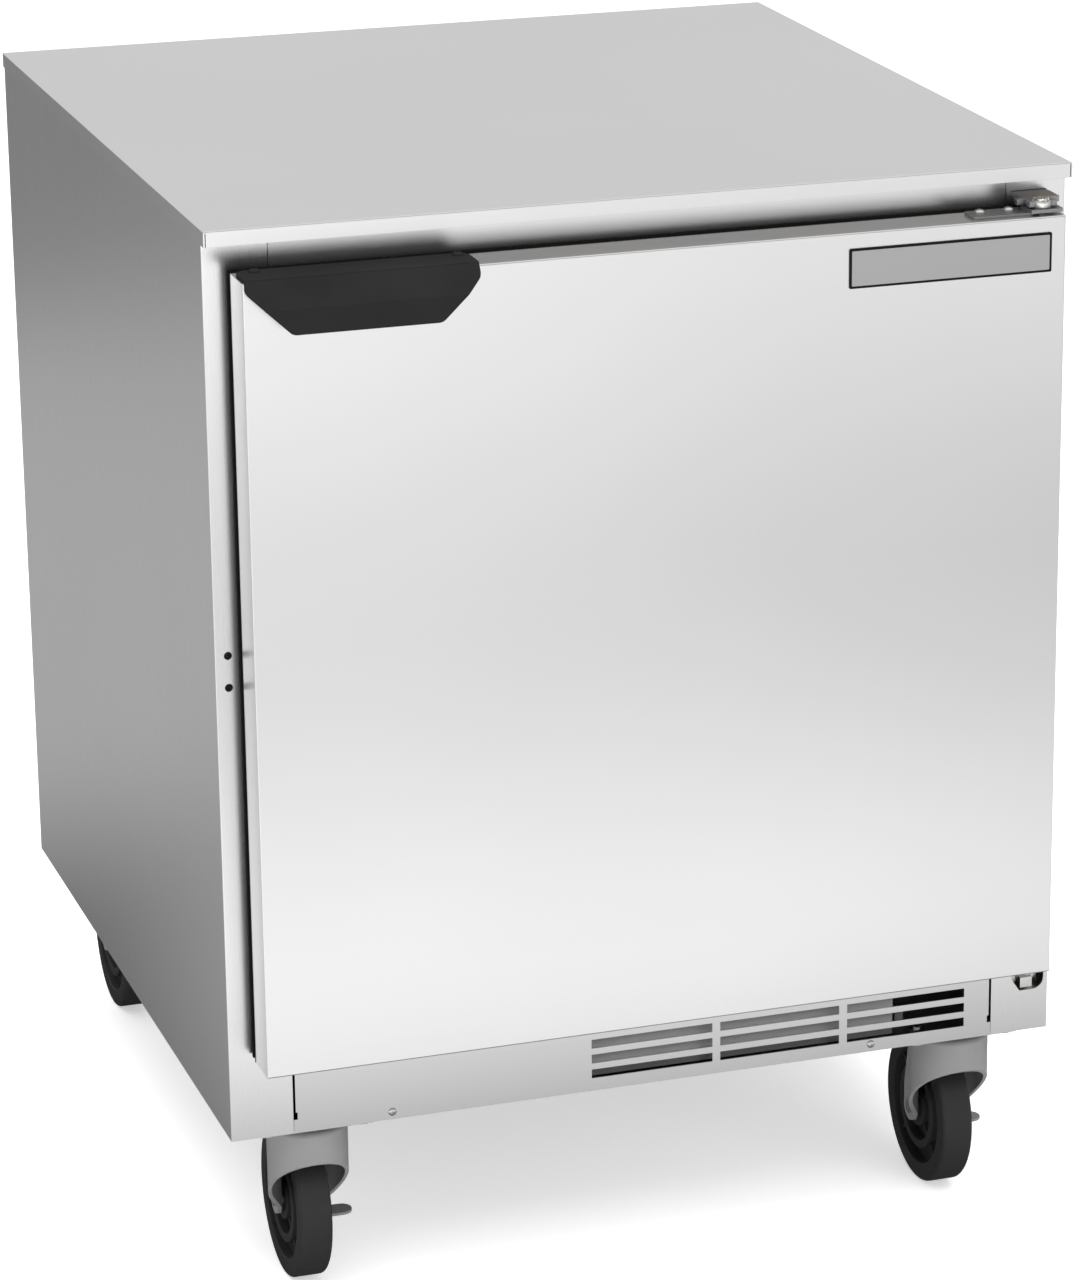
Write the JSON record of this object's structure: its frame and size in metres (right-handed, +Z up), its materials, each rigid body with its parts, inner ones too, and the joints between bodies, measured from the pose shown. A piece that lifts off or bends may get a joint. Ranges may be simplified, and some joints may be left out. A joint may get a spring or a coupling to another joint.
{
  "type": "undercounter refrigerator",
  "caption": "Stainless undercounter refrigerator on swivel casters, with a hinged insulated door, a flat worktop, a louvred kick panel and lift-out wire shelves.",
  "frame": {"origin": "on the floor, under the middle of the whole object's box", "axes": "+X to the right seen from the front, +Y to the back, +Z up"},
  "size_m": [0.6858, 0.8058, 0.876],
  "materials": {
    "stainless": "satin",
    "galvanised": "satin",
    "zinc": "gloss",
    "hinge_steel": "satin",
    "fork_steel": "satin",
    "wheel_rubber": "matte",
    "black_plastic": "matte",
    "gasket_vinyl": "matte",
    "badge": "satin",
    "liner_aluminium": "satin",
    "door_liner_plastic": "satin",
    "foam": "matte",
    "core_board": "matte",
    "white_coated_wire": "gloss",
    "white_plastic": "satin",
    "aluminium_fin": "satin",
    "compressor_black": "satin",
    "copper": "satin",
    "motor_grey": "matte"
  },
  "bodies": {
    "cabinet": {"worktop": "stainless", "worktop_core": "core_board", "left_side_panel": "stainless", "right_side_panel": "stainless", "back_panel": "galvanised", "rear_grille": "galvanised", "top_rail": "stainless", "kick_panel": "stainless", "threshold_rail": "stainless", "base_pan": "galvanised", "foam_insulation": "foam", "inner_liner": "liner_aluminium", "shelf_pilasters": "stainless", "shelf_clips": "zinc", "evaporator_cover": "white_plastic", "evaporator_coil": "aluminium_fin", "evaporator_fan_motor": "motor_grey", "drip_tray": "white_plastic", "thermostat_body": "black_plastic", "compressor": "compressor_black", "condenser_coil": "aluminium_fin", "condenser_shroud": "galvanised", "condenser_fan_motor": "motor_grey", "condensate_pan": "galvanised", "refrigerant_lines": "copper", "junction_box": "black_plastic", "top_hinge_bracket": "hinge_steel", "bottom_hinge_bracket": "zinc", "hinge_pins": "zinc", "cabinet_screws": "zinc", "caster_bolts": "zinc", "caster_heads": "zinc"},
    "evaporator_fan": {"evaporator_fan": "black_plastic"},
    "condenser_fan": {"condenser_fan": "motor_grey"},
    "thermostat_knob": {"thermostat_knob": "black_plastic"},
    "wire_shelf_upper": {"wire_shelf_upper": "white_coated_wire"},
    "wire_shelf_lower": {"wire_shelf_lower": "white_coated_wire"},
    "door": {"door_skin": "stainless", "door_foam": "foam", "door_liner": "door_liner_plastic", "door_gasket": "gasket_vinyl", "door_handle": "black_plastic", "door_screws": "zinc", "hinge_strap": "hinge_steel", "hinge_cartridge": "white_plastic", "nameplate": "badge"},
    "caster_fl": {"caster_fork_fl": "fork_steel", "caster_axle_fl": "zinc"},
    "wheel_fl": {"wheel_fl": "wheel_rubber"},
    "caster_fr": {"caster_fork_fr": "fork_steel", "caster_axle_fr": "zinc"},
    "wheel_fr": {"wheel_fr": "wheel_rubber"},
    "caster_rl": {"caster_fork_rl": "fork_steel", "caster_axle_rl": "zinc"},
    "wheel_rl": {"wheel_rl": "wheel_rubber"},
    "caster_rr": {"caster_fork_rr": "fork_steel", "caster_axle_rr": "zinc"},
    "wheel_rr": {"wheel_rr": "wheel_rubber"},
    "brake_fl": {"brake_lever_fl": "fork_steel"},
    "brake_fr": {"brake_lever_fr": "fork_steel"}
  },
  "joints": [
    {"name": "door_hinge", "type": "hinge", "parent": "cabinet", "child": "door", "pos_m": [0.3075, -0.37405, 0.5], "axis": [0, 0, 1], "range_deg": [0, 120], "stiffness_Nm_per_rad": 0.8, "springref_deg": -11.46},
    {"name": "caster_swivel_fl", "type": "hinge", "parent": "cabinet", "child": "caster_fl", "pos_m": [-0.272, -0.30055, 0.145], "axis": [0, 0, 1], "continuous": true},
    {"name": "wheel_spin_fl", "type": "hinge", "parent": "caster_fl", "child": "wheel_fl", "pos_m": [-0.272, -0.26115, 0.0635], "axis": [1, 0, 0], "continuous": true},
    {"name": "caster_swivel_fr", "type": "hinge", "parent": "cabinet", "child": "caster_fr", "pos_m": [0.272, -0.30055, 0.145], "axis": [0, 0, 1], "continuous": true},
    {"name": "wheel_spin_fr", "type": "hinge", "parent": "caster_fr", "child": "wheel_fr", "pos_m": [0.272, -0.26115, 0.0635], "axis": [1, 0, 0], "continuous": true},
    {"name": "caster_swivel_rl", "type": "hinge", "parent": "cabinet", "child": "caster_rl", "pos_m": [-0.272, 0.30005, 0.145], "axis": [0, 0, 1], "continuous": true},
    {"name": "wheel_spin_rl", "type": "hinge", "parent": "caster_rl", "child": "wheel_rl", "pos_m": [-0.272, 0.33945, 0.0635], "axis": [1, 0, 0], "continuous": true},
    {"name": "caster_swivel_rr", "type": "hinge", "parent": "cabinet", "child": "caster_rr", "pos_m": [0.272, 0.30005, 0.145], "axis": [0, 0, 1], "continuous": true},
    {"name": "wheel_spin_rr", "type": "hinge", "parent": "caster_rr", "child": "wheel_rr", "pos_m": [0.272, 0.33945, 0.0635], "axis": [1, 0, 0], "continuous": true},
    {"name": "brake_fl", "type": "hinge", "parent": "caster_fl", "child": "brake_fl", "pos_m": [-0.246, -0.26115, 0.0635], "axis": [-1, 0, 0], "range_deg": [0, 25]},
    {"name": "brake_fr", "type": "hinge", "parent": "caster_fr", "child": "brake_fr", "pos_m": [0.298, -0.26115, 0.0635], "axis": [-1, 0, 0], "range_deg": [0, 25]},
    {"name": "evaporator_fan_spin", "type": "hinge", "parent": "cabinet", "child": "evaporator_fan", "pos_m": [0, 0.21245, 0.727], "axis": [0, 1, 0], "continuous": true},
    {"name": "condenser_fan_spin", "type": "hinge", "parent": "cabinet", "child": "condenser_fan", "pos_m": [-0.165, 0.19745, 0.262], "axis": [0, 1, 0], "continuous": true},
    {"name": "thermostat_dial", "type": "hinge", "parent": "cabinet", "child": "thermostat_knob", "pos_m": [0.15, 0.19045, 0.688], "axis": [0, 1, 0], "range_deg": [0, 270]},
    {"name": "shelf_lift_upper", "type": "slide", "parent": "cabinet", "child": "wire_shelf_upper", "axis": [0, 0, 1], "range_m": [0, 0.02]},
    {"name": "shelf_lift_lower", "type": "slide", "parent": "cabinet", "child": "wire_shelf_lower", "axis": [0, 0, 1], "range_m": [0, 0.02]}
  ]
}
